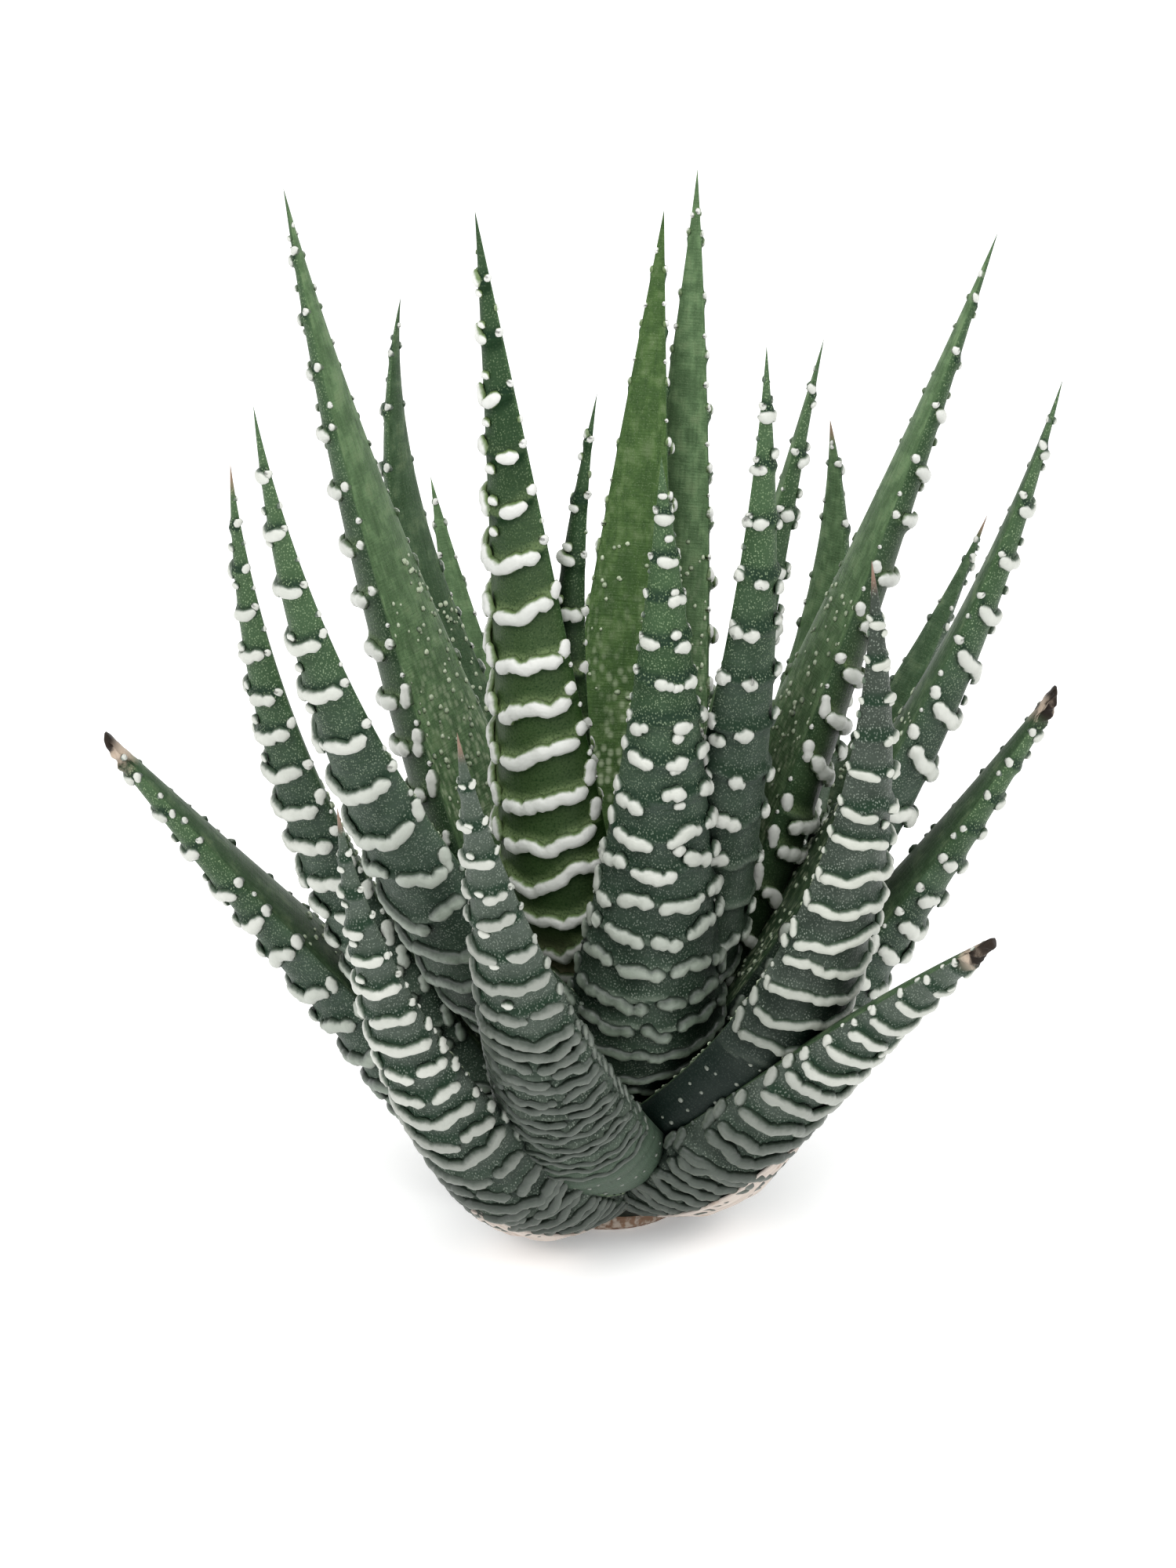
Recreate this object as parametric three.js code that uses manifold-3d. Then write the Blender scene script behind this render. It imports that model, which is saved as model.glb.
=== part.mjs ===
// A zebra haworthia rosette as it is lifted from its soil: thick, tapering leaves with raised cross bands
// crowd round a short stem, which is trimmed flat so that the plant stands on it, among dry leaf remains.
// Millimetres, +Z up. The origin is the centre of the trimmed foot. Headings are in degrees: 0 faces -Y,
// the side the plant is seen from, and 90 faces +X. Rises are degrees above the horizon.
import * as THREE from "three";
import { mergeVertices } from "three/addons/utils/BufferGeometryUtils.js";
import Module from "manifold-3d";

const wasm = await Module();
wasm.setup();

// ---- Driving dimensions ----
const STEM_HEIGHT = 30; // the stretch of stem that carries leaves
const STEM_LOW_RADIUS = 7.5; // under the leaves, at the foot
const STEM_TOP_RADIUS = 2.5;
const FOOT_RADIUS = 9.5; // the trimmed, corky end that the plant stands on
const FOOT_HEIGHT = 3;
const STEM_SIDES = 14;
const SEAT_GAP = 0.3; // between two pieces that lie against each other
const ROOT_DEPTH = 3; // how far a leaf starts inside the stem, before it is cut to the stem's surface

const TAPER_WIDTH = 1.19; // brings the widest place, near 1/6 of the length, to the stated width
const NECK_WIDTH = 0.7; // a leaf's width at the stem, as a share of the taper there
const NECK_END = 0.16; // where along the leaf the neck has widened fully
const BACK_DEPTH_BASE = 0.6; // depth of the rounded back, as a share of the half width
const BACK_DEPTH = 1;
const BACK_END = 0.26; // where along the leaf the back has deepened fully
const FACE_HOLLOW_BASE = -0.1; // the inner face is slightly hollow at the base
const FACE_CROWN_TIP = 0.16; // and slightly crowned at the tip
const BAND_START = 0.06; // the raised cross bands' stretch along the leaf
const BAND_END = 0.92;
const BAND_CROWDING = 1.2; // over 1 sets the bands closer together near the base
const BAND_RAISE = 0.5;
const EDGE_RAISE = 0.3; // the band ends stand out of the leaf's edges
const DRY_TIP_BLUNTNESS = 0.09; // a withered leaf ends before its taper does, by this share

// One row for each leaf, from the lowest to the youngest: height on the stem, heading, sway (how far
// the heading turns along the leaf), rise at the base, rise at the tip, length, width, number of bands, and
// 1 if its tip is dry.
const LEAVES = [
  [5.2, -27, -20, 27, 81, 74, 16.5, 22, 0],
  [5.4, 47, 3, 47, 39, 61, 17.5, 19, 1],
  [5.4, -90, 3, 45, 49, 68, 16.5, 15, 1],
  [5.6, 126, 0, 28, 42, 40, 13.0, 8, 0],
  [6.0, 170, 0, 30, 50, 52, 13.5, 9, 0],
  [6.4, 92, 0, 47, 57, 67, 16.0, 18, 1],
  [6.4, -134, 0, 32, 50, 44, 13.0, 8, 0],
  [8.2, -7, -26, 36, 76, 82, 17.0, 22, 0],
  [9.5, -176, 0, 36, 56, 58, 13.0, 10, 0],
  [10.5, -80, 14, 46, 86, 87, 16.0, 21, 0],
  [12.0, 48, -5, 34, 98, 82, 17.5, 23, 0],
  [13.0, 131, -5, 33, 61, 73, 13.0, 11, 0],
  [13.2, -157, 0, 38, 60, 70, 13.5, 12, 0],
  [15.0, 22, 0, 69, 96, 77, 18.0, 20, 0],
  [16.0, 90, -6, 49, 74.5, 90, 16.5, 17, 0],
  [17.5, 131, 4, 32, 99, 74, 17.0, 13, 0],
  [18.0, 108, -6, 65, 69, 96, 16.0, 18, 0],
  [20.0, 165, 2, 50, 83, 93, 15.0, 16, 0],
  [20.6, 58, -9, 68, 90, 83, 14.5, 16, 0],
  [20.8, -122, 10, 60, 77, 95, 16.5, 17, 0],
  [21.5, -42, -25, 44, 81, 91, 16.5, 17, 0],
  [24.0, 176, -12, 60, 70, 84, 15.5, 15, 0],
  [24.5, -150, 29, 28, 99, 81, 14.0, 14, 0],
  [25.5, 92, -3, 75, 76, 75.5, 13.5, 13, 0],
  [27.0, -50, -1, 82, 80, 90, 15.5, 17, 0],
  [29.0, 100, 0, 76, 86, 34, 7.0, 6, 0],
  [29.5, -150, 0, 76, 88, 38, 7.0, 7, 0],
  [30.0, -40, -2, 75, 105, 64, 8.5, 12, 0],
];

const leafGreen = new THREE.MeshStandardMaterial({ color: 0x2f4f38, roughness: 0.55, metalness: 0 });
const stemBrown = new THREE.MeshStandardMaterial({ color: 0x7a5a3f, roughness: 0.9, metalness: 0 });
const sheathTan = new THREE.MeshStandardMaterial({ color: 0xc9ab95, roughness: 0.85, metalness: 0 });

const radians = THREE.MathUtils.degToRad;
const blend = THREE.MathUtils.lerp;

// ---- Meshes and solids ----
// Rings of equally many points, from the base to the tip, and closed by a flat cap and by one last point.
function ringsGeometry(rings, tip) {
  const sides = rings[0].length;
  const points = rings.flat().concat([tip]);
  const index = [];
  for (let r = 0; r + 1 < rings.length; r++) {
    for (let s = 0; s < sides; s++) {
      const a = r * sides + s;
      const b = r * sides + ((s + 1) % sides);
      index.push(a, b, b + sides, a, b + sides, a + sides);
    }
  }
  const last = (rings.length - 1) * sides;
  for (let s = 0; s < sides; s++) index.push(last + s, last + ((s + 1) % sides), points.length - 1);
  for (let s = 1; s + 1 < sides; s++) index.push(0, s + 1, s);
  const geometry = new THREE.BufferGeometry().setFromPoints(points);
  geometry.setIndex(index);
  return geometry;
}

function solidOf(geometry) {
  const bare = geometry.clone();
  bare.deleteAttribute("normal");
  bare.deleteAttribute("uv");
  const merged = mergeVertices(bare, 1e-4);
  return new wasm.Manifold(
    new wasm.Mesh({
      numProp: 3,
      vertProperties: new Float32Array(merged.attributes.position.array),
      triVerts: new Uint32Array(merged.index.array),
    }),
  );
}

function geometryOf(solid) {
  const mesh = solid.getMesh();
  const geometry = new THREE.BufferGeometry();
  geometry.setAttribute("position", new THREE.BufferAttribute(mesh.vertProperties, mesh.numProp));
  geometry.setIndex(new THREE.BufferAttribute(mesh.triVerts, 1));
  return geometry;
}

// Cutting can leave a loose scrap beside the piece itself, which is dropped.
function largestBody(solid) {
  return solid.decompose().reduce((kept, body) => (body.volume() > kept.volume() ? body : kept));
}

// ---- The stem ----
function stemRadius(z) {
  return blend(STEM_LOW_RADIUS, STEM_TOP_RADIUS, Math.min(z / STEM_HEIGHT, 1));
}

function stemSolid(grown) {
  const profile = [
    [0, -grown],
    [FOOT_RADIUS + grown, -grown],
    [FOOT_RADIUS + grown, FOOT_HEIGHT * 0.4 + grown],
    [stemRadius(FOOT_HEIGHT) + grown, FOOT_HEIGHT + grown],
    [STEM_TOP_RADIUS + grown, STEM_HEIGHT],
    [STEM_TOP_RADIUS * 0.6, STEM_HEIGHT + 1 + grown],
    [0, STEM_HEIGHT + 1 + grown],
  ].map(([r, z]) => new THREE.Vector2(r, z));
  const geometry = new THREE.LatheGeometry(profile, STEM_SIDES);
  geometry.rotateX(Math.PI / 2);
  return solidOf(geometry);
}

// ---- The leaves ----
// Where the leaf's middle line runs, with the two directions across it at each place.
function leafLine(leaf, shares) {
  const [height, heading, sway, rise, tipRise, length] = leaf;
  const outward = (turn, up) => {
    const a = radians(turn);
    const e = radians(up);
    return new THREE.Vector3(Math.cos(e) * Math.sin(a), -Math.cos(e) * Math.cos(a), Math.sin(e));
  };
  const at = (share) => outward(heading + sway * share, blend(rise, tipRise, share));
  const place = outward(heading, 0).multiplyScalar(stemRadius(height)).setZ(height);
  place.addScaledVector(at(0), -ROOT_DEPTH);
  const whole = length + ROOT_DEPTH;
  let before = 0;
  return shares.map((share) => {
    place.addScaledVector(at((before + share) / 2), (share - before) * whole);
    before = share;
    const forward = at(share);
    const across = outward(heading + sway * share + 90, 0);
    return { place: place.clone(), across, face: across.clone().cross(forward).negate() };
  });
}

function halfWidth(width, share, bluntness) {
  const taper = TAPER_WIDTH * (1 - share / (1 + bluntness));
  const neck = blend(NECK_WIDTH, 1, THREE.MathUtils.smoothstep(share, 0, NECK_END));
  return (width / 2) * taper * neck;
}

function backDepth(half, share) {
  return half * blend(BACK_DEPTH_BASE, BACK_DEPTH, THREE.MathUtils.smoothstep(share, 0, BACK_END));
}

// A cross section: flat inner face, rounded back. raise lifts the back and edges where a band crosses.
function leafSection({ place, across, face }, half, share, raise, grown) {
  const back = backDepth(half, share) + grown + raise;
  const crown = half * blend(FACE_HOLLOW_BASE, FACE_CROWN_TIP, share) + grown;
  const edge = half + grown + raise * (EDGE_RAISE / BAND_RAISE);
  const point = (x, y) => place.clone().addScaledVector(across, x).addScaledVector(face, y);
  return [
    point(edge, 0),
    point(0, crown),
    point(-edge, 0),
    point(-edge * 0.64, -back * 0.72),
    point(0, -back),
    point(edge * 0.64, -back * 0.72),
  ];
}

// The shares of the length where rings lie: each band's crest, and the low place before it.
function bandShares(bands) {
  const crests = [...Array(bands).keys()].map((n) =>
    blend(BAND_START, BAND_END, Math.pow(n / (bands - 1), BAND_CROWDING)),
  );
  return crests.map((crest, n) => ({ crest, low: n ? (crests[n - 1] + crest) / 2 : crest / 2 }));
}

function leafSolid(leaf) {
  const [, , , , , , width, bands, dry] = leaf;
  const bluntness = dry * DRY_TIP_BLUNTNESS;
  const rings = bandShares(bands).flatMap(({ crest, low }) => [
    { share: low, raise: 0 },
    { share: crest, raise: BAND_RAISE },
  ]);
  rings.unshift({ share: 0, raise: 0 });
  rings.push({ share: 0.965, raise: 0 });
  const line = leafLine(leaf, [...rings.map((ring) => ring.share), 1]);
  const sections = rings.map(({ share, raise }, n) => {
    const fading = raise * Math.min(1, 1.6 * (1 - share) + 0.3);
    return leafSection(line[n], halfWidth(width, share, bluntness), share, fading, 0);
  });
  return solidOf(ringsGeometry(sections, line.at(-1).place));
}

// The room that a leaf and its bands take near the stem, with the seat gap round it.
const CLEARANCE_SHARES = [0, 0.06, 0.12, 0.18, 0.25, 0.33, 0.42, 0.52, 0.64, 0.8];
function leafClearance(leaf) {
  const [, , , , , , width, , dry] = leaf;
  const grown = BAND_RAISE + SEAT_GAP;
  const line = leafLine(leaf, [...CLEARANCE_SHARES, 1.02]);
  const sections = CLEARANCE_SHARES.map((share, n) =>
    leafSection(line[n], halfWidth(width, share, dry * DRY_TIP_BLUNTNESS), share, 0, grown),
  );
  return solidOf(ringsGeometry(sections, line.at(-1).place));
}

// ---- Dry remains of old leaves: thin shells that hug the backs of the lowest leaves ----
const SHEATHS = [
  { name: "dry_sheath_right", under: 2, reach: 0.36 },
  { name: "dry_sheath_left", under: 1, reach: 0.26 },
  { name: "dry_sheath_back", under: 5, reach: 0.34 },
];
const SHEATH_OUT = BAND_RAISE + SEAT_GAP + 0.65; // the shell's outer side, off the leaf's own skin
const SHEATH_STEPS = 4;
const SHEATH_START = 0.1; // where along the leaf the shell starts
const SHEATH_WRAP = 42; // degrees it reaches round the back to each side, at the stem
const SHEATH_TIP_WRAP = 10; // and at its torn end
const SHEATH_LOW = 0.3; // clear of the surface the plant stands on

// The room of the leaf above is cut out of this later, which leaves the shell.
function sheathSolid({ under, reach }) {
  const leaf = LEAVES[under - 1];
  const shares = [...Array(SHEATH_STEPS + 1).keys()].map((n) => blend(SHEATH_START, reach, n / SHEATH_STEPS));
  const line = leafLine(leaf, shares);
  const rings = shares.map((share, n) => {
    const wrap = radians(blend(SHEATH_WRAP, SHEATH_TIP_WRAP, n / SHEATH_STEPS));
    const half = halfWidth(leaf[6], share, 0);
    const back = backDepth(half, share);
    const point = (turn, out) =>
      line[n].place
        .clone()
        .addScaledVector(line[n].across, (half + out) * Math.sin(turn))
        .addScaledVector(line[n].face, -(back + out) * Math.cos(turn));
    const outer = [-wrap, -wrap / 2, 0, wrap / 2, wrap].map((turn) => point(turn, SHEATH_OUT));
    return [...outer, point(wrap, 0), point(-wrap, 0)];
  });
  const middle = rings.at(-1).reduce((sum, p) => sum.add(p), new THREE.Vector3()).divideScalar(rings[0].length);
  return solidOf(ringsGeometry(rings, middle));
}

// ---- The plant ----
const plant = new THREE.Group();
function addPiece(name, solid, material) {
  const mesh = new THREE.Mesh(geometryOf(solid), material);
  mesh.name = name;
  plant.add(mesh);
}

const stem = stemSolid(0);
const stemRoom = stemSolid(SEAT_GAP);
addPiece("stem", stem, stemBrown);

// Each leaf is cut to the stem and to the leaves above it, which it wraps.
const rooms = LEAVES.map(leafClearance);
LEAVES.forEach((leaf, n) => {
  let solid = leafSolid(leaf).subtract(stemRoom);
  for (const room of rooms.slice(n + 1)) solid = solid.subtract(room);
  addPiece("leaf_" + String(n + 1).padStart(2, "0"), largestBody(solid), leafGreen);
});

const ground = wasm.Manifold.cube([400, 400, 100], true).translate([0, 0, SHEATH_LOW - 50]);
for (const sheath of SHEATHS) {
  let solid = sheathSolid(sheath).subtract(stemRoom).subtract(ground);
  for (const room of rooms) solid = solid.subtract(room);
  addPiece(sheath.name, largestBody(solid), sheathTan);
}

export default plant;
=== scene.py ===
"""A zebra haworthia rosette, lifted from its soil and standing on its trimmed stem.

Lengths are in millimetres until a mesh is made, and headings in degrees: 0 faces -Y, towards the camera,
and 90 faces +X. A leaf's skin is a formula of two numbers: the share of the way from its base to its tip,
and the angle round it, from its right edge (0) over its back (a quarter turn) to its left edge (a half
turn) and across its inner face (three quarters).
"""
import math
from collections import namedtuple

import bpy
import numpy as np
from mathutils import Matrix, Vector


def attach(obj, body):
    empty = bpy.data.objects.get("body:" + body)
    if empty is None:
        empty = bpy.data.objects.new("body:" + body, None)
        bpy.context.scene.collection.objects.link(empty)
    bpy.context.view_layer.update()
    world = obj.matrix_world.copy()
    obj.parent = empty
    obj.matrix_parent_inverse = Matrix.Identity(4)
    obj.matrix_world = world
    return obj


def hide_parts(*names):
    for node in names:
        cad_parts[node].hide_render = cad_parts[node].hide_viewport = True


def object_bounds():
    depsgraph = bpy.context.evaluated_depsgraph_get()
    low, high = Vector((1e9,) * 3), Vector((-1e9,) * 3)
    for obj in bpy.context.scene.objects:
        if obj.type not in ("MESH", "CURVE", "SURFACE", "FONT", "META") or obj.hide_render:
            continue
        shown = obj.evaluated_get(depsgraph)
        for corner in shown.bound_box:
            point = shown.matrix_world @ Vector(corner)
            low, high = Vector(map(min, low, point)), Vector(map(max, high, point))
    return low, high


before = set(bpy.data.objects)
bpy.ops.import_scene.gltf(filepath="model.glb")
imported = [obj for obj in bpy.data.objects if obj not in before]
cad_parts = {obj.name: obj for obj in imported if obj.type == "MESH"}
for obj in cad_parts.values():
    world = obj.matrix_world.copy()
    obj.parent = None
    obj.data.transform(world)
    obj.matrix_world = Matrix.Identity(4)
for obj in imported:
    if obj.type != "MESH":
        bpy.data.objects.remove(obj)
CAD_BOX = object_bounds()

MM = 0.001
QUARTER_TURN = math.pi / 2
HALF_TURN = math.pi
TURN = 2 * math.pi

# ---- The plant's form, as in its solids ----
STEM_HEIGHT = 30.0
STEM_LOW_RADIUS = 7.5
STEM_TOP_RADIUS = 2.5
FOOT_RADIUS = 9.5
FOOT_HEIGHT = 3.0
ROOT_DEPTH = 3.0

TAPER_WIDTH = 1.19
NECK_WIDTH = 0.7
NECK_END = 0.16
BACK_DEPTH_BASE = 0.6
BACK_DEPTH = 1.0
BACK_END = 0.26
FACE_HOLLOW_BASE = -0.1
FACE_CROWN_TIP = 0.16
BAND_START = 0.06
BAND_END = 0.92
BAND_CROWDING = 1.2
DRY_TIP_BLUNTNESS = 0.09

# A leaf's form: its height on the stem, heading, sway, rise at its base and at its tip, length, width, how
# many bands, and 1 if its tip is dry. Then its look: how far its bands join up into whole rows and how
# light its green is (both from 0 to 1), how far its rows arch towards the tip, the share from its base
# without bands, the share where its rows start to break up into dots, and the share by which they are white.
Leaf = namedtuple(
    "Leaf", "height heading sway rise tip_rise length width bands dry joined light arch bare whole white"
)
LEAVES = [
    Leaf(5.2, -27, -20, 27, 81, 74, 16.5, 22, 0, 0.45, 0.15, -0.3, 0.0, 0.60, 0.62),
    Leaf(5.4, 47, 3, 47, 39, 61, 17.5, 19, 1, 0.80, 0.15, 0.0, 0.0, 0.72, 0.68),
    Leaf(5.4, -90, 3, 45, 49, 68, 16.5, 15, 1, 0.75, 0.28, 0.5, 0.0, 0.74, 0.62),
    Leaf(5.6, 126, 0, 28, 42, 40, 13.0, 8, 0, 0.50, 0.10, 0.5, 0.0, 0.42, 0.50),
    Leaf(6.0, 170, 0, 30, 50, 52, 13.5, 9, 0, 0.50, 0.10, 0.5, 0.0, 0.42, 0.50),
    Leaf(6.4, 92, 0, 47, 57, 67, 16.0, 18, 1, 0.25, 0.25, 0.5, 0.0, 0.50, 0.50),
    Leaf(6.4, -134, 0, 32, 50, 44, 13.0, 8, 0, 0.50, 0.10, 0.5, 0.0, 0.42, 0.50),
    Leaf(8.2, -7, -26, 36, 76, 82, 17.0, 22, 0, 0.25, 0.15, 0.0, 0.24, 0.60, 0.92),
    Leaf(9.5, -176, 0, 36, 56, 58, 13.0, 10, 0, 0.50, 0.20, 0.5, 0.0, 0.42, 0.50),
    Leaf(10.5, -80, 14, 46, 86, 87, 16.0, 21, 0, 0.50, 0.25, 0.0, 0.0, 0.60, 0.50),
    Leaf(12.0, 48, -5, 34, 98, 82, 17.5, 23, 0, 0.55, 0.00, 0.6, 0.33, 0.55, 0.52),
    Leaf(13.0, 131, -5, 33, 61, 73, 13.0, 11, 0, 0.40, 0.20, 0.5, 0.0, 0.42, 0.50),
    Leaf(13.2, -157, 0, 38, 60, 70, 13.5, 12, 0, 0.40, 0.45, 0.5, 0.0, 0.42, 0.40),
    Leaf(15.0, 22, 0, 69, 96, 77, 18.0, 20, 0, 0.15, 0.26, 0.2, 0.0, 0.38, 0.50),
    Leaf(16.0, 90, -6, 49, 74.5, 90, 16.5, 17, 0, 0.94, 0.28, -3.4, 0.0, 0.75, 0.40),
    Leaf(17.5, 131, 4, 32, 99, 74, 17.0, 13, 0, 0.40, 0.40, 0.5, 0.0, 0.42, 0.30),
    Leaf(18.0, 108, -6, 65, 69, 96, 16.0, 18, 0, 0.65, 0.50, -2.2, 0.0, 0.55, 0.25),
    Leaf(20.0, 165, 2, 50, 83, 93, 15.0, 16, 0, 0.30, 0.60, 0.5, 0.0, 0.42, 0.30),
    Leaf(20.6, 58, -9, 68, 90, 83, 14.5, 16, 0, 0.05, 0.32, -0.3, 0.0, 0.30, 0.34),
    Leaf(20.8, -122, 10, 60, 77, 95, 16.5, 17, 0, 0.60, 0.45, 0.0, 0.0, 0.66, 0.30),
    Leaf(21.5, -42, -25, 44, 81, 91, 16.5, 17, 0, 0.90, 0.28, -0.6, 0.0, 0.70, 0.62),
    Leaf(24.0, 176, -12, 60, 70, 84, 15.5, 15, 0, 0.30, 0.95, 0.5, 0.0, 0.42, 0.20),
    Leaf(24.5, -150, 29, 28, 99, 81, 14.0, 14, 0, 0.30, 0.30, 0.5, 0.0, 0.42, 0.30),
    Leaf(25.5, 92, -3, 75, 76, 75.5, 13.5, 13, 0, 0.20, 0.40, 0.5, 0.0, 0.42, 0.20),
    Leaf(27.0, -50, -1, 82, 80, 90, 15.5, 17, 0, 0.97, 0.75, -2.4, 0.0, 0.46, 0.12),
    Leaf(29.0, 100, 0, 76, 86, 34, 7.0, 6, 0, 0.30, 0.90, 0.3, 0.0, 0.42, 0.12),
    Leaf(29.5, -150, 0, 76, 88, 38, 7.0, 7, 0, 0.30, 0.90, 0.3, 0.0, 0.42, 0.12),
    Leaf(30.0, -40, -2, 75, 105, 64, 8.5, 12, 0, 0.20, 0.60, 0.3, 0.0, 0.42, 0.12),
]

# name, the leaf it lies under, and how far along that leaf it reaches
Sheath = namedtuple("Sheath", "name under reach")
SHEATHS = [
    Sheath("dry_sheath_right", 2, 0.36),
    Sheath("dry_sheath_left", 1, 0.26),
    Sheath("dry_sheath_back", 5, 0.34),
]
SHEATH_START = 0.1
SHEATH_WRAP = 42  # degrees to each side of the middle of the leaf's back, at the sheath's start
SHEATH_TIP_WRAP = 10
SHEATH_LOW = 0.3  # its lowest height above the floor
SHEATH_OUT = 0.95  # the shell's outer side, off the leaf's own skin
SHEATH_PAPER = 0.35
SHEATH_RINGS = 60
SHEATH_POINTS = 50  # across it, on each side of the paper

# ---- The finer surface ----
RING_STEP = 0.42  # between two rings of a leaf's skin
RING_CROWDING = 1.15  # above 1, the rings stand closer towards the tip
LAST_RING = 0.997
SKIN_SIDES = 48
EDGE_ROUNDING = 0.12  # thickness of a leaf's edge, as a share of its half width
RIDGE_RAISE = 0.65  # the green skin swells along each row of bands
RIDGE_SHARPNESS = 1.25
RIDGE_REACH = 1.6  # how far from its row a ridge runs out at most
LIP_END = 0.36  # near a leaf's base its rows are lips, out to about this share
LIP_DROP = 0.28  # a lip falls steeply towards the base, over this share of the way between two lips
LIP_HOLLOW = 1.3  # above 1, its long slope towards the tip is hollow
HALO_FADE = 0.55  # how far the painted shade in a dark line above a row fades out, and on young leaves a painted highlight there
BLOOM_AND_SHEEN_FADE = 1.3  # and the grey bloom with painted sheen below it, and on young leaves painted shade there
CRUMPLE = 0.45  # how deep a dry tip is crumpled

BAND_WIDTH = 1.7
BAND_HEIGHT = 0.55
BAND_SUNK = 0.3  # a band's foot lies this far under the skin
# across the band, and up, as shares of half its width and of its height or sunk depth
BAND_SIDE = ((1.12, -1.0), (1.0, 0.1), (0.8, 0.6), (0.42, 0.92))
BAND_PROFILE = (*BAND_SIDE, (0.0, 1.0), *((-out, up) for out, up in reversed(BAND_SIDE)))
BAND_RING_STEP = 0.42
BAND_CAP = (0.0, 0.134, 0.5, 1.0)  # where the rings of its round end stand, as shares of the end's radius
LAST_BAND = 0.995
BAND_PATH_POINTS = 33
ENDS = np.array([-0.5, 0.5])  # the two ends of a straight path, as shares of its length
DOT_WIDTH = 0.95  # a dot's width and height, as shares of its length
DOT_HEIGHT = 0.35
BEADS_LOOSE = 0.42  # how far a band narrows between the beads it grew from, where bands don't join up
BEADS_JOINED = 0.2

ROW_REACH = 0.88  # how far a row runs round the back, of the way to the edges
FULL_SPAN = 8.0  # rows shorter than this, from the middle to the edge, wave and arch less
ROW_WAVE = 0.5
# for each wave along a row, the least and most of its height, as shares of ROW_WAVE, and of its beat
ROW_WAVES = ((0.3, 1.0, 0.45, 0.75), (0.09, 0.45, 1.1, 1.7))
FADING_SHARE = 0.3  # over this share of the leaf, whole rows give way to dots
WHITE_FROM = 0.45  # the bands start to turn white at this share of the way to where they are fully white
RED_TIPS = (1, 8, 10, 11, 12, 16)  # the leaves whose tips have turned red
KEEL_JOINED = 0.1  # where bands join up less than this, three large dots stand in for each row
KEEL_FROM = 0.28  # from this share of the leaf on
KEEL_DOT = 2.2
# where they stand, of the way from the middle of the back to the left edge, and their size
KEEL_PLACES = ((-0.2, 0.75), (0.47, 1.0), (0.86, 0.7))
CROWDED_HEIGHT = 9.0  # leaves that start below this have more rows near their bases
CROWDED_REACH = 0.28  # out to this share
BREAK_JOINED = 0.95  # where bands join up more than this, a lump set lengthwise breaks each row
BREAK_AT = 0.2  # where the lump stands, of that same way
BREAK_ROOM = 0.13
LUMP_LENGTH = 2.6
DOT_ROWS_FROM = 0.16  # under a leaf's first band, dots start at this share of it
DOT_ROWS_REACH = 0.9
FACE_DOTS = 3.2  # on the darkest leaf's inner face, for each millimetre of its length
NEAR_A_LEAF = 9.0  # no skin of a leaf is farther than this from its middle line


def blend(low, high, share):
    return low + (high - low) * share


def smooth(value, low, high):
    share = np.clip((value - low) / (high - low), 0.0, 1.0)
    return share * share * (3.0 - 2.0 * share)


def toward(turn, up):
    """Unit vectors that face the heading `turn` and rise by `up`, both in degrees."""
    turn, up = np.broadcast_arrays(np.radians(turn), np.radians(up))
    return np.stack([np.cos(up) * np.sin(turn), -np.cos(up) * np.cos(turn), np.sin(up)], -1)


def unit(vectors):
    return vectors / np.maximum(np.linalg.norm(vectors, axis=-1, keepdims=True), 1e-9)


def stem_radius(height):
    return blend(STEM_LOW_RADIUS, STEM_TOP_RADIUS, min(height / STEM_HEIGHT, 1.0))


# ---- A leaf's skin ----
class Skin:
    """The surface of one leaf, without its bands."""

    GRID = np.linspace(0.0, 1.0, 241)

    def __init__(self, leaf):
        self.leaf = leaf
        grid = self.GRID
        middles = (grid[1:] + grid[:-1]) / 2
        start = toward(leaf.heading, 0.0) * stem_radius(leaf.height)
        start[2] = leaf.height
        start -= ROOT_DEPTH * self.forward(0.0)
        moves = self.forward(middles) * np.diff(grid)[:, None] * (leaf.length + ROOT_DEPTH)
        self.places = np.vstack([start, start + np.cumsum(moves, 0)])
        self.right = toward(leaf.heading + leaf.sway * grid + 90, 0.0)
        self.inward = -np.cross(self.right, self.forward(grid))

    def forward(self, share):
        leaf = self.leaf
        return toward(leaf.heading + leaf.sway * share, blend(leaf.rise, leaf.tip_rise, share))

    def along(self, values, share):
        return np.stack([np.interp(share, self.GRID, values[:, k]) for k in range(3)], -1)

    def half(self, share):
        """Half the leaf's width."""
        bluntness = self.leaf.dry * DRY_TIP_BLUNTNESS
        taper = TAPER_WIDTH * np.maximum(1 - share / (1 + bluntness), 0)
        return self.leaf.width / 2 * taper * blend(NECK_WIDTH, 1, smooth(share, 0, NECK_END))

    def depth(self, share):
        """How far the rounded back stands out."""
        return self.half(share) * blend(BACK_DEPTH_BASE, BACK_DEPTH, smooth(share, 0, BACK_END))

    def girth(self, share):
        """Millimetres of skin for each radian round the back, near enough."""
        return (self.half(share) + self.depth(share)) / 2

    def point(self, share, angle, raised=0.0):
        share, angle = np.broadcast_arrays(share, angle)
        half, depth = self.half(share), self.depth(share)
        side, back = np.cos(angle), np.sin(angle)
        crown = half * (blend(FACE_HOLLOW_BASE, FACE_CROWN_TIP, share) * back * back - EDGE_ROUNDING * back)
        out_x = half * side + raised * side
        out_y = np.where(back > 0, -depth * back - raised * back, crown)
        place = self.along(self.places, share) + self.along(self.right, share) * out_x[..., None]
        return place + self.along(self.inward, share) * out_y[..., None]

    def normal(self, share, angle):
        step = 1e-3
        low, high = np.clip(share - step, 0, 1), np.clip(share + step, 0, 1)
        lengthwise = self.point(high, angle) - self.point(low, angle)
        round_it = self.point(share, angle + step) - self.point(share, angle - step)
        return unit(np.cross(lengthwise, round_it))


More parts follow.
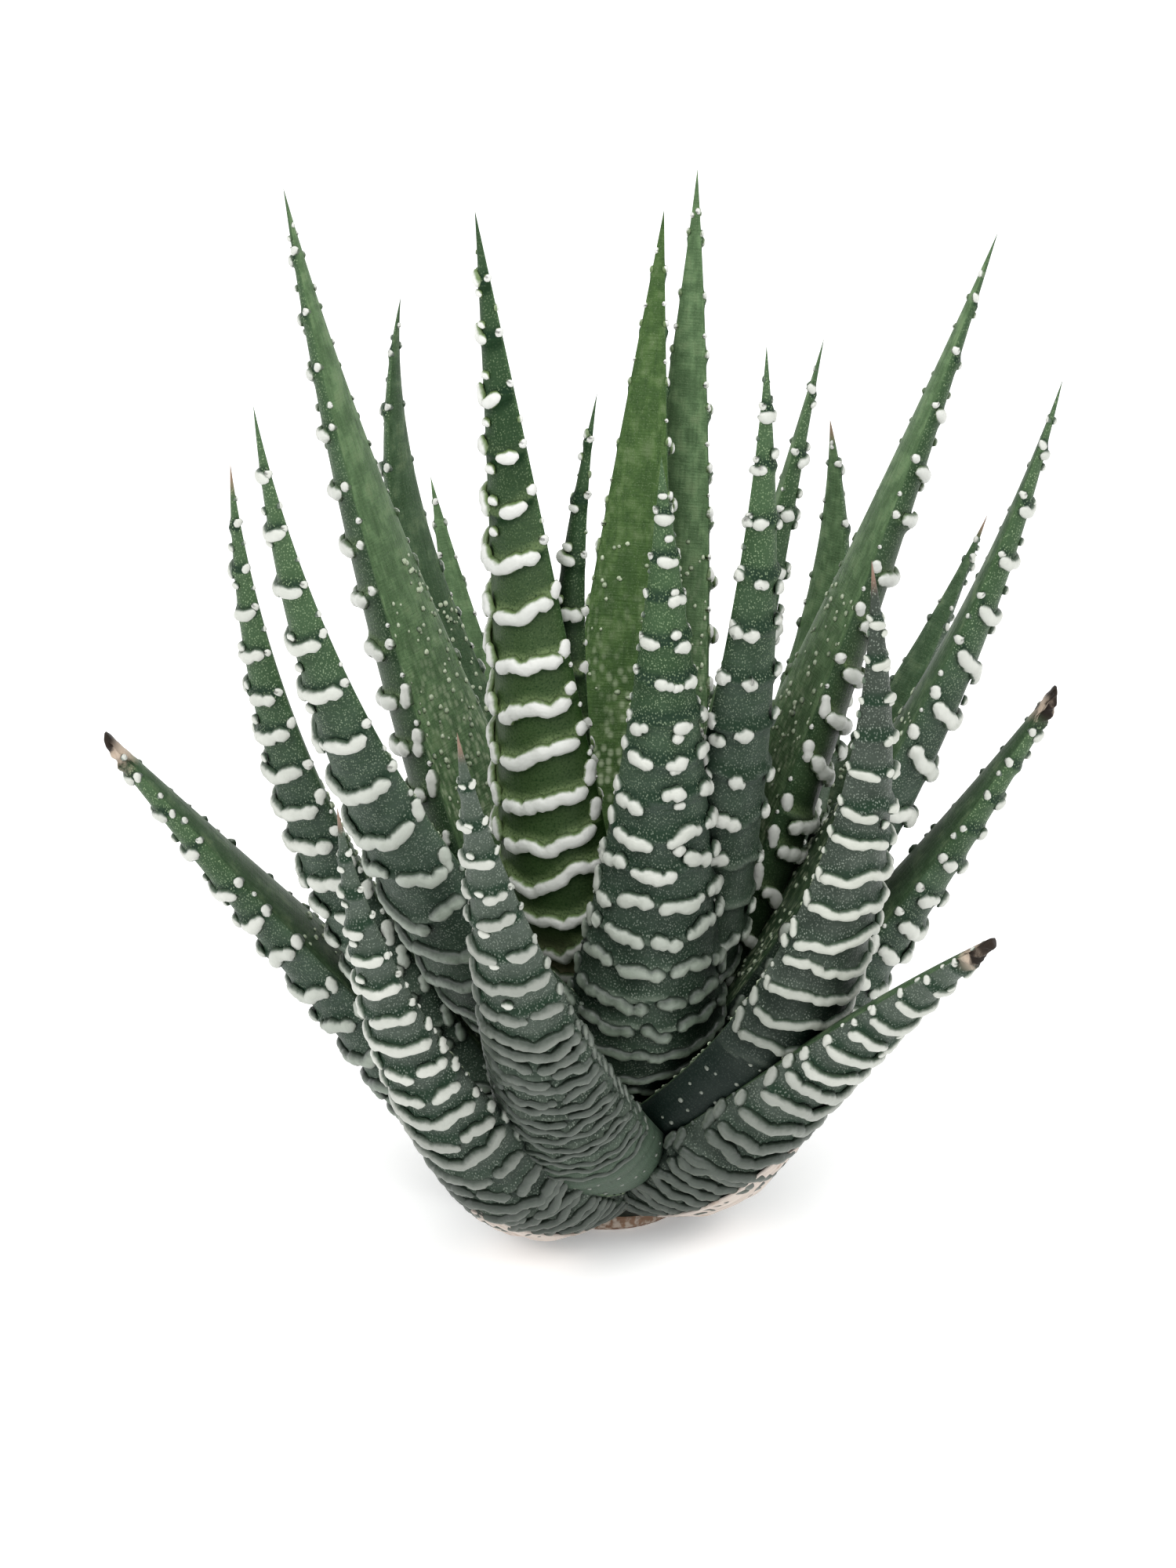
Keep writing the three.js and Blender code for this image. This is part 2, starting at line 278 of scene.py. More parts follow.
# ---- Rows of bands ----
Piece = namedtuple("Piece", "middle half tilt lift")  # across the back, and along the leaf, in millimetres


class Row:
    """One cross row on a leaf's back: a wavy line, and the pieces of band that lie along it."""

    def __init__(self, skin, share, rng):
        self.share = share
        self.skin = skin
        self.span = float(skin.girth(share)) * QUARTER_TURN
        narrow = min(1.0, self.span / FULL_SPAN)
        self.arch = skin.leaf.arch * narrow
        size = ROW_WAVE * narrow * blend(0.7, 1.5, skin.leaf.joined)
        self.waves = [
            (size * rng.uniform(least, most), rng.uniform(slow, fast), rng.uniform(0, TURN))
            for least, most, slow, fast in ROW_WAVES
        ]
        self.lean = rng.normal(0, 0.05)
        self.pieces = self.lay(rng)

    def line(self, across):
        """How far up the leaf the row's line lies, from its own share, at a place across the back."""
        turn = across / max(self.span, 1.0)
        lifted = self.arch * (1 - turn * turn) + self.lean * across
        return lifted + sum(size * np.sin(across * beat + phase) for size, beat, phase in self.waves)

    def lay(self, rng):
        """The row's pieces, from the right edge to the left."""
        leaf = self.skin.leaf
        reach = self.span * ROW_REACH
        # drawn for every kind of row, though only a plain one keeps them
        pieces = self.lay_along(reach, rng)
        if leaf.joined < KEEL_JOINED and self.share > KEEL_FROM:
            return self.lay_keel(rng)
        if leaf.joined > BREAK_JOINED and self.share < leaf.whole + 0.1:
            return self.lay_broken(reach, rng)
        return pieces

    def lay_along(self, reach, rng):
        """Long pieces where the leaf's bands join up, and dots towards its tip."""
        leaf = self.skin.leaf
        fading = float(smooth(self.share, leaf.whole, leaf.whole + FADING_SHARE))
        low_down = float(smooth(self.share, leaf.bare + 0.3, leaf.bare + 0.1))
        whole = blend(leaf.joined, 1.0, 0.85 * low_down) * (1 - fading)
        pieces = []
        place = -reach + rng.uniform(0, 0.5 + 1.5 * fading)
        while place < reach - 0.5 and self.share >= leaf.bare:
            if rng.random() < whole:
                length = reach - place
            else:
                length = BAND_WIDTH + rng.uniform(0.1 + 1.2 * (1 - fading), 0.4 + 3.4 * (1 - fading))
            length = min(length, reach - place)
            if length > BAND_WIDTH * 0.7:
                broken = 1.0 if length < 1.6 * reach else 0.0
                tilt = rng.normal(0, 0.16) * broken
                pieces.append(Piece(place + length / 2, length / 2, tilt, rng.normal(0, 0.28) * broken))
            place += length + rng.uniform(0.2, 0.6) + fading * rng.uniform(0.5, 2.4)
        return pieces

    def lay_keel(self, rng):
        """Three large dots, one of them near the middle of the back."""
        largest = KEEL_DOT / 2 * blend(1.15, 0.5, self.share)
        pieces = []
        for place, size in KEEL_PLACES:
            middle = place * self.span + rng.normal(0, 0.2)
            half = size * largest * rng.uniform(0.8, 1.5)
            pieces.append(Piece(middle, half, 0.0, rng.normal(0, 0.7)))
        return pieces

    def lay_broken(self, reach, rng):
        """Two long pieces, with room for a lump between them."""
        near, far = (BREAK_AT - BREAK_ROOM) * self.span, (BREAK_AT + BREAK_ROOM) * self.span
        return [
            Piece((near - reach) / 2, (near + reach) / 2, 0.0, 0.0),
            Piece((far + reach) / 2, (reach - far) / 2, 0.0, rng.normal(0, 0.5)),
        ]


def leaf_rows(skin, rng):
    leaf = skin.leaf
    last = leaf.bands - 1
    shares = [blend(BAND_START, BAND_END, (n / last) ** BAND_CROWDING) for n in range(last + 1)]
    if leaf.height < CROWDED_HEIGHT:
        pairs = zip(shares, shares[1:])
        shares += [(low + high) / 2 for low, high in pairs if leaf.bare < low < leaf.bare + CROWDED_REACH]
    return [Row(skin, share, rng) for share in sorted(shares)]


# ---- Meshes ----
def placed(name, data):
    """A new object of this data, in the scene."""
    obj = bpy.data.objects.new(name, data)
    bpy.context.scene.collection.objects.link(obj)
    return obj


class Builder:
    """Gathers points, faces and numbers for each point, and makes one mesh of them."""

    def __init__(self):
        self.points = []
        self.faces = []
        self.values = {}
        self.count = 0

    def add(self, points, faces, **values):
        self.points.append(points)
        self.faces += [tuple(self.count + corner for corner in face) for face in faces]
        for name, value in values.items():
            self.values.setdefault(name, []).append(np.broadcast_to(value, (len(points), 3)))
        self.count += len(points)

    def make(self, name, material, slot):
        mesh = bpy.data.meshes.new(name)
        # what stands out of the solids' box, by up to 1.4 mm on four low leaves, is set back to it
        points = np.clip(np.vstack(self.points) * MM, CAD_BOX[0], CAD_BOX[1])
        mesh.from_pydata(points.tolist(), [], self.faces)
        for key, parts in self.values.items():
            layer = mesh.attributes.new(key, "FLOAT_VECTOR", "POINT")
            layer.data.foreach_set("vector", np.vstack(parts).astype(np.float32).ravel())
        mesh.polygons.foreach_set("use_smooth", [True] * len(mesh.polygons))
        mesh.materials.append(material)
        mesh.update()
        obj = placed(name, mesh)
        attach(obj, "root")
        return obj


def tube_faces(rings, sides):
    """Faces of a closed tube, whose points are listed ring by ring, with its two poles after them."""
    faces = []
    for ring in range(rings - 1):
        for side in range(sides):
            a = ring * sides + side
            b = ring * sides + (side + 1) % sides
            faces.append((a, b, b + sides, a + sides))
    last, pole = (rings - 1) * sides, rings * sides
    faces += [((side + 1) % sides, side, pole) for side in range(sides)]
    faces += [(last + side, last + (side + 1) % sides, pole + 1) for side in range(sides)]
    return faces


# its size and its lift off the skin in millimetres, and how white and how faint it is, both from 0 to 1
Band = namedtuple("Band", "width height raised fresh faint", defaults=(0.0,))


def band_rings(length, radius):
    """Where a band's rings stand along it: closer together at its round ends."""
    caps = radius * np.array(BAND_CAP)
    steps = max(int((length - 2 * radius) / BAND_RING_STEP), 0)
    middles = np.linspace(radius, length - radius, steps + 2)[1:-1]
    return np.concatenate([caps, middles, (length - caps)[::-1]])


def band_swell(places, radius, joined, rng):
    """How full the band is at each ring: rounded at its ends, and narrower between its beads."""
    from_end = np.minimum(places, places[-1] - places)
    swell = np.sqrt(np.maximum(1 - (1 - np.clip(from_end / radius, 0, 1)) ** 2, 0))
    beat = places * rng.uniform(1.3, 1.9) + rng.uniform(0, TURN)
    beat = np.abs(np.sin(beat + 0.5 * np.sin(places * 0.9)))
    swell = swell * (1 - blend(BEADS_LOOSE, BEADS_JOINED, joined) * (1 - beat) ** 2)
    return swell * (1 + 0.06 * np.sin(places * 6.1 + beat * 3) + 0.05 * np.sin(places * 10.7))


def add_band(builder, skin, share, along, across, band, rng):
    """A ridge with round ends, laid on the skin along a path: up from a share, and across the back."""
    leaf = skin.leaf
    gone = np.concatenate([[0.0], np.cumsum(np.hypot(np.diff(along), np.diff(across)))])
    radius = min(band.width, max(gone[-1], 0.2)) / 2
    places = band_rings(gone[-1], radius)
    shares = np.clip(share + np.interp(places, gone, along) / leaf.length, 0.0, LAST_BAND)
    angles = QUARTER_TURN + np.interp(places, gone, across) / np.maximum(skin.girth(shares), 0.3)
    centre = skin.point(shares, angles, band.raised)
    outward = skin.normal(shares, angles)
    beside = unit(np.cross(outward, unit(np.gradient(centre, axis=0))))
    swell = band_swell(places, radius, leaf.joined, rng)
    sides, ups = np.array(BAND_PROFILE).T
    ring = beside[:, None] * (sides * band.width / 2)[None, :, None]
    ring = ring + outward[:, None] * (ups * np.where(ups > 0, band.height, BAND_SUNK))[None, :, None]
    rings = (centre[:, None] + ring * swell[:, None, None])[1:-1]
    points = np.vstack([rings.reshape(-1, 3), centre[0], centre[-1]])
    crest = np.clip(ups, 0, 1)[None] * np.clip(swell[1:-1], 0, 1)[:, None]
    form = np.zeros(points.shape)
    form[:-2, 0] = crest.ravel()
    form[:-2, 1] = np.tile(sides, len(rings))
    faces = tube_faces(len(rings), len(sides))
    builder.add(points, faces, form=form, look=(band.fresh, leaf.light, band.faint))


def add_dot(builder, skin, share, across, size, fresh, rng, raised=0.0, faint=0.0):
    band = Band(size * DOT_WIDTH, size * DOT_HEIGHT, raised, fresh, faint)
    add_band(builder, skin, share, 0.0 * ENDS, across + size * ENDS, band, rng)


def row_raise(share, leaf):
    """How far the skin swells under a row."""
    grown = blend(0.8, 1.0, smooth(share, 0.02, 0.2)) * (1 - 0.65 * smooth(share, 0.5, 1.0))
    return RIDGE_RAISE * grown * smooth(share, leaf.bare - 0.1, leaf.bare + 0.06)


def add_row(builder, row, rng):
    """A row's pieces, narrow near the leaf's base and towards its tip, and the bands at its two edges."""
    skin, leaf = row.skin, row.skin.leaf
    if row.share < leaf.bare:
        add_dot_row(builder, row, rng)
        return
    fresh = float(smooth(row.share, WHITE_FROM * leaf.white, leaf.white))
    low_down = (1 - smooth(row.share, leaf.bare, leaf.bare + LIP_END)) * (1 - smooth(leaf.bare, 0.24, 0.34))
    narrowed = (1 - 0.68 * low_down * (1 - 0.7 * leaf.light)) * (1 - 0.25 * smooth(row.share, 0.5, 0.9))
    width = BAND_WIDTH * narrowed * blend(0.75, 1.0, float(smooth(leaf.light, 0.0, 0.25)))
    band = Band(width, BAND_HEIGHT * narrowed, 0.85 * row_raise(row.share, leaf), fresh)
    for piece in row.pieces:
        across = np.linspace(-piece.half, piece.half, BAND_PATH_POINTS)
        crooked = 0.13 * (1 + low_down) * np.sin(across * rng.uniform(1.8, 2.8) + rng.uniform(0, TURN))
        along = row.line(piece.middle + across) + piece.lift + piece.tilt * across + crooked
        greyed = band._replace(fresh=fresh * rng.uniform(0.85, 1.0))
        add_band(builder, skin, row.share, along, piece.middle + across, greyed, rng)
    if leaf.joined > BREAK_JOINED:
        length = LUMP_LENGTH * rng.uniform(0.75, 1.1) * narrowed
        along = float(row.line(0.0)) + rng.uniform(0.2, 0.9) + length * ENDS
        across = BREAK_AT * row.span + 0.8 * ENDS + 0.1
        add_band(builder, skin, row.share, along, across, band._replace(width=0.9 * width), rng)
    for side in (-1, 1):
        add_edge(builder, row, side, band, rng)


def add_edge(builder, row, side, band, rng):
    """A short band set lengthwise on the leaf's edge, at a row's end, and often a dot above it."""
    edge = side * row.span * rng.uniform(0.93, 1.0)
    length = rng.uniform(1.3, 3.1) * (1 - 0.68 * smooth(row.share, 0.35, 0.75))
    middle = float(row.line(edge)) + rng.uniform(0.2, 1.0)
    across = edge + side * 0.5 * (ENDS - 0.5)
    thin = blend(0.85, 0.72, float(smooth(row.share, 0.4, 0.8)))
    low_band = band._replace(width=thin * band.width, height=thin * band.height, raised=0.1)
    add_band(builder, row.skin, row.share, middle + length * ENDS, across, low_band, rng)
    if rng.random() < 0.6:
        above = middle + rng.uniform(1.8, 2.6)
        size = rng.uniform(0.45, 0.8)
        dot = Band(size, 0.4 * size, 0.0, band.fresh)
        add_band(builder, row.skin, row.share, above + size * ENDS, edge + 0.0 * ENDS, dot, rng)


def add_dot_row(builder, row, rng):
    """Where a leaf's first bands would be, small dim dots."""
    across = -row.span * DOT_ROWS_REACH
    while row.share > DOT_ROWS_FROM and across < row.span * DOT_ROWS_REACH:
        share = row.share + rng.normal(0, 0.004)
        add_dot(builder, row.skin, share, across, rng.uniform(0.35, 0.65), 0.3, rng)
        across += rng.uniform(0.9, 2.6)


def add_keel_dots(builder, skin, rng):
    """Small dots along the middle of the back, towards the tip."""
    leaf = skin.leaf
    place = leaf.length * blend(0.35, rng.uniform(0.6, 0.7), min(leaf.joined / 0.3, 1))
    while place < leaf.length * 0.95 and leaf.joined > KEEL_JOINED:
        share = place / leaf.length
        size = rng.uniform(0.95, 1.25) * blend(1.9, 0.7, share)
        add_dot(builder, skin, share, rng.normal(0, 0.25), size, 1.0, rng, 0.6 * row_raise(share, leaf))
        place += rng.uniform(3.2, 5.4)


def add_face_dots(builder, skin, rng):
    """Tiny dots on the inner face, thickest low down."""
    leaf = skin.leaf
    for _ in range(int(leaf.length * FACE_DOTS * (1 - 0.75 * leaf.light))):
        share = 0.08 + 0.5 * rng.random() ** 1.4
        angle = QUARTER_TURN * (rng.choice([-1, 1]) * rng.uniform(0.05, 0.75) - 1)
        across = (angle - QUARTER_TURN) * float(skin.girth(share))
        size = rng.uniform(0.35, 0.85)
        add_dot(builder, skin, share, across, size, rng.uniform(0.2, 0.8), rng, faint=1.0)


def leaf_bands(skin, rows, rng):
    builder = Builder()
    for row in rows:
        add_row(builder, row, rng)
    add_keel_dots(builder, skin, rng)
    add_face_dots(builder, skin, rng)
    return builder


def row_gaps(rows, leaf, share, across):
    """How far each point of the skin lies from the row above it, and from the row below."""
    above = np.full(share.shape, RIDGE_REACH)
    below = np.full(share.shape, RIDGE_REACH)
    for row in rows:
        gap = (share - row.share) * leaf.length - row.line(across)
        below = np.where((gap >= 0) & (gap < below), gap, below)
        above = np.where((gap < 0) & (-gap < above), -gap, above)
    return above, below


def ridges_and_lips(above, below):
    """How far the skin swells, from 0 to 1, as even ridges along its rows, and as lips."""
    ridge = np.cos(HALF_TURN * np.clip(2 * np.minimum(above, below) / (above + below), 0, 1))
    ridge = (0.5 + 0.5 * ridge) ** RIDGE_SHARPNESS
    way_up = below / (above + below)
    slope = np.maximum(1 - way_up / (1 - LIP_DROP), 0) ** LIP_HOLLOW
    return ridge, np.where(way_up > 1 - LIP_DROP, smooth(way_up, 1 - LIP_DROP, 1), slope)


def crumpling(share, angle):
    """How far a dry tip's skin stands out or in."""
    waves = np.sin(3 * angle + 90 * share) * np.sin(160 * share + angle)
    return CRUMPLE * waves * smooth(share, 0.91, 0.95) * (1 - smooth(share, 0.985, 1.0))


def with_poles(*values):
    """Three numbers for each point of a skin's rings, and for the poles at its base and its tip."""
    flat = np.stack(np.broadcast_arrays(*values), -1).reshape(-1, 3)
    return np.vstack([flat, flat[0], flat[-1]])


def leaf_skin(skin, rows, number, younger):
    """The green skin, with what its material reads: millimetres on the skin, and where each point lies."""
    leaf = skin.leaf
    shares = np.linspace(0, 1, int(leaf.length / RING_STEP))
    shares = LAST_RING * (1 - (1 - shares) ** RING_CROWDING)
    angles = np.arange(SKIN_SIDES) * TURN / SKIN_SIDES
    share, angle = np.meshgrid(shares, angles, indexing="ij")
    on_back = np.where(angle <= HALF_TURN, angle, TURN - angle)
    across = (on_back - QUARTER_TURN) * skin.girth(share)
    above, below = row_gaps(rows, leaf, share, across)
    ridge, lip = ridges_and_lips(above, below)
    lipped = 1 - smooth(share, 0.5 * (leaf.bare + LIP_END), 0.5 * leaf.bare + 1.4 * LIP_END)
    lipped = lipped * (1 - smooth(leaf.light, 0.25, 0.7))
    back = smooth(np.sin(angle), -0.1, 0.3)
    raised = row_raise(share, leaf) * blend(ridge, lip, lipped) * back + leaf.dry * crumpling(share, angle)
    points = pushed_out(skin.point(share, angle, raised).reshape(-1, 3), younger)
    poles = [(skin.point(end, 0.0) + skin.point(end, HALF_TURN)) / 2 for end in (0.0, 1.0)]

    inner = smooth(-np.sin(angle), 0.02, 0.3)
    banded = smooth(share, leaf.bare - 0.08, leaf.bare + 0.08) * back
    plain = banded * (1 - lipped)
    # painted shade in a dark line above each row, and on young leaves a painted highlight there
    halo = np.exp(-np.maximum(below - BAND_WIDTH / 2, 0) / HALO_FADE) * plain
    # a grey bloom with painted sheen under each row, and on young leaves painted shade there
    bloom = np.exp(-np.maximum(above - BAND_WIDTH / 2, 0) / BLOOM_AND_SHEEN_FADE) * plain
    # the bare base: its own colour, but painted shade on the darkest leaves
    pale = 1 - smooth(share, 0.04 + 0.7 * leaf.bare, 0.15 + 0.9 * leaf.bare)
    dry = leaf.dry * smooth(share, 0.925, 0.96)
    red = smooth(share, 0.955, 0.985) * (number in RED_TIPS)
    builder = Builder()
    builder.add(
        np.vstack([points, poles]),
        tube_faces(len(shares), SKIN_SIDES),
        skin_mm=with_poles(across + number * 17.0, share * leaf.length, number * 9.0 + inner * 3.0),
        tone=with_poles(halo, bloom, pale),
        kind=with_poles(inner, leaf.light, share),
        fold=with_poles(lip, banded * lipped, 0.0),
        ends=with_poles(dry, red, 0.0),
    )
    return builder


def pushed_out(points, skins):
    """Points that lie inside a younger leaf are moved out to its back, which an older leaf wraps."""
    stride = 4
    least = 0.05  # below this share of the way from the middle line, a point isn't moved
    for skin in skins:
        low, high = skin.places.min(0) - NEAR_A_LEAF, skin.places.max(0) + NEAR_A_LEAF
        near = np.flatnonzero(((points > low) & (points < high)).all(1))
        if not len(near):
            continue
        gaps = np.linalg.norm(points[near][:, None] - skin.places[None, ::stride], axis=-1)
        spot = gaps.argmin(1) * stride
        share = skin.GRID[spot]
        offset = points[near] - skin.places[spot]
        x = (offset * skin.right[spot]).sum(-1)
        y = (offset * skin.inward[spot]).sum(-1)
        half, depth = skin.half(share), skin.depth(share)
        ratio = np.hypot(x / np.maximum(half, 0.1), y / np.maximum(depth, 0.1))
        inside = (ratio < 1) & (y < 0) & (ratio > least)
        shift = (1 / np.maximum(ratio, least) - 1)[:, None]
        moved = (skin.right[spot] * x[:, None] + skin.inward[spot] * y[:, None]) * shift
        points[near[inside]] += moved[inside]
    return points


# ---- Colours, as linear light ----
def rgb(red, green, blue):
    return (red, green, blue, 1.0)


# where there are two, a material mixes them, from the first to the second
GREEN = rgb(0.012, 0.025, 0.014), rgb(0.046, 0.072, 0.049)
FRESH_GREEN = rgb(0.009, 0.034, 0.007), rgb(0.04, 0.084, 0.034)
GREY_GREEN = rgb(0.02, 0.029, 0.021), rgb(0.072, 0.09, 0.073)
YOUNG_GREEN = rgb(0.003, 0.026, 0.001), rgb(0.01, 0.039, 0.004)
FRESH_TIP = rgb(0.066, 0.118, 0.054)
GREY_TIP = rgb(0.06, 0.082, 0.058), rgb(0.038, 0.043, 0.036)
# a grey waxy bloom with painted sheen, on the grey leaves and on the lighter ones
BLOOM_AND_SHEEN = rgb(0.078, 0.096, 0.081), rgb(0.06, 0.08, 0.068)
# painted shade in a dark line above each row
HALO_SHADE = rgb(0.011, 0.028, 0.015)
SPECK = rgb(0.27, 0.31, 0.26), rgb(0.25, 0.34, 0.19)
YOUNG_SPECK = rgb(0.12, 0.24, 0.07)
# painted highlight above each row of a young leaf
YOUNG_HIGHLIGHT = rgb(0.27, 0.37, 0.16)
# painted shade below each row of a young leaf
YOUNG_SHADE = rgb(0.001, 0.017, 0.003)
# painted shade on the darkest leaves' bare base, then the bare base's own green
BASE_SHADE_AND_GREEN = rgb(0.005, 0.011, 0.009), rgb(0.052, 0.08, 0.054)
YOUNG_BASE = rgb(0.23, 0.2, 0.13)
# painted shade in the grooves between the lips
GROOVE_SHADE = rgb(0.005, 0.011, 0.007)
# the lips' grey green with a painted highlight on their tops, also the old bands' colour
LIP_HIGHLIGHT_AND_OLD_BAND = rgb(0.056, 0.071, 0.055), rgb(0.175, 0.216, 0.168)
FACE = rgb(0.062, 0.11, 0.056), rgb(0.112, 0.19, 0.088)
YOUNG_FACE = rgb(0.06, 0.116, 0.031)
FACE_FIBRE = rgb(0.015, 0.035, 0.01)
FACE_CLOUDS = rgb(0.012, 0.034, 0.01), rgb(0.16, 0.21, 0.11)
FACE_SPOT = rgb(0.35, 0.41, 0.27)
FACE_SPECK = rgb(0.19, 0.25, 0.14)
RED_TIP = rgb(0.26, 0.16, 0.12)
HUSK = rgb(0.014, 0.01, 0.007), rgb(0.46, 0.37, 0.29)
HUSK_END = rgb(0.02, 0.014, 0.01)
# painted shade, deep between the leaves
CREVICE_SHADE = rgb(0.0, 0.003, 0.002)

DULL_BAND = rgb(0.37, 0.385, 0.335), rgb(0.495, 0.51, 0.455)
BRIGHT_BAND = rgb(0.565, 0.57, 0.545), rgb(0.71, 0.71, 0.695)
OLD_BAND_EDGE = rgb(0.2, 0.23, 0.185)
BAND_FOOT = rgb(0.045, 0.075, 0.045), rgb(0.11, 0.17, 0.06)
OLD_BAND_FOOT = rgb(0.02, 0.03, 0.021)
FACE_DOT = rgb(0.2, 0.26, 0.15), rgb(0.5, 0.56, 0.41)

CORK = rgb(0.07, 0.034, 0.018), rgb(0.36, 0.22, 0.14)
CORK_GRAIN = rgb(0.48, 0.4, 0.33)
STEM_TOP = rgb(0.06, 0.11, 0.035)
PAPER = rgb(0.36, 0.29, 0.24), rgb(0.68, 0.62, 0.57)
PAPER_STAIN = rgb(0.32, 0.21, 0.14)
FLOOR = rgb(0.96, 0.96, 0.96)
WHITE = rgb(1.0, 1.0, 1.0)


# ---- Materials ----
# how far the ambient occlusion reaches, for the painted shade between the leaves
CREVICE_REACH = 0.014
STEM_GREEN_FROM = 0.020  # the growing top of the stem, in metres above the floor
STEM_GREEN_BY = 0.028


class Shader:
    """A node material, written as short calls."""

    def __init__(self, name):
        self.material = bpy.data.materials.new(name)
        self.material.use_nodes = True
        self.nodes = self.material.node_tree.nodes
        self.links = self.material.node_tree.links
        self.surface = self.nodes["Principled BSDF"]

    def node(self, kind, **settings):
        made = self.nodes.new("ShaderNode" + kind)
        for key, value in settings.items():
            setattr(made, key, value)
        return made

    def put(self, socket, value):
        if isinstance(value, bpy.types.NodeSocket):
            self.links.new(value, socket)
        else:
            socket.default_value = value

    def attribute(self, name):
        read = self.node("Attribute", attribute_type="GEOMETRY", attribute_name=name)
        return read.outputs["Vector"]

    def parts(self, vector):
        """A vector's three numbers."""
        made = self.node("SeparateXYZ")
        self.put(made.inputs["Vector"], vector)
        return made.outputs["X"], made.outputs["Y"], made.outputs["Z"]

    def place(self):
        return self.node("TexCoord").outputs["Object"]

    def scaled(self, vector, scale):
        made = self.node("VectorMath", operation="MULTIPLY")
        self.put(made.inputs[0], vector)
        self.put(made.inputs[1], scale)
        return made.outputs["Vector"]

    def noise(self, vector, scale=1.0, detail=3.0):
        made = self.node("TexNoise")
        self.put(made.inputs["Vector"], vector)
        self.put(made.inputs["Scale"], scale)
        self.put(made.inputs["Detail"], detail)
        return made.outputs["Fac"]

    def cells(self, vector):
        """How far a place is from the middle of its cell, in a pattern of cells one unit wide."""
        made = self.node("TexVoronoi", voronoi_dimensions="2D")
        self.put(made.inputs["Vector"], vector)
        self.put(made.inputs["Scale"], 1.0)
        return made.outputs["Distance"]

    def step(self, value, low, high):
        """0 below low, 1 above high, and a smooth rise between; low may be the larger."""
        made = self.node("MapRange", interpolation_type="SMOOTHSTEP")
        self.put(made.inputs["Value"], value)
        self.put(made.inputs["From Min"], low)
        self.put(made.inputs["From Max"], high)
        return made.outputs["Result"]

    def math(self, operation, *values):
        made = self.node("Math", operation=operation)
        for socket, value in zip(made.inputs, values):
            self.put(socket, value)
        return made.outputs["Value"]

    def times(self, first, *others):
        """The product of all the values."""
        for value in others:
            first = self.math("MULTIPLY", first, value)
        return first

    def crevices(self):
        """For painted shade: 0 deep between the leaves, and 1 in the open, by ambient occlusion."""
        made = self.node("AmbientOcclusion", samples=5)
        self.put(made.inputs["Distance"], CREVICE_REACH)
        return self.step(made.outputs["AO"], 0.0, 0.65)

    def mix(self, share, low, high):
        made = self.node("Mix", data_type="RGBA")
        self.put(made.inputs["Factor"], share)
        self.put(made.inputs[6], low)
        self.put(made.inputs[7], high)
        return made.outputs[2]

    def bump(self, height, strength, distance, before=None):
        made = self.node("Bump")
        self.put(made.inputs["Height"], height)
        self.put(made.inputs["Strength"], strength)
        self.put(made.inputs["Distance"], distance)
        if before is not None:
            self.put(made.inputs["Normal"], before)
        return made.outputs["Normal"]

    def is_lighter(self, light):
        """0 on the leaves of a grey green, and 1 on all the lighter ones."""
        return self.step(light, 0.16, 0.26)

    def is_young(self, light):
        return self.step(light, 0.3, 0.75)

    def lips(self, light):
        """The lips' grey green with a painted highlight on their rounded tops near a leaf's base, which the
        old bands take too.
        """
        return self.mix(self.is_lighter(light), *LIP_HIGHLIGHT_AND_OLD_BAND)

    def finish(self, colour, roughness, normal=None):
        self.put(self.surface.inputs["Base Color"], colour)
        self.put(self.surface.inputs["Roughness"], roughness)
        if normal is not None:
            self.put(self.surface.inputs["Normal"], normal)
        return self.material


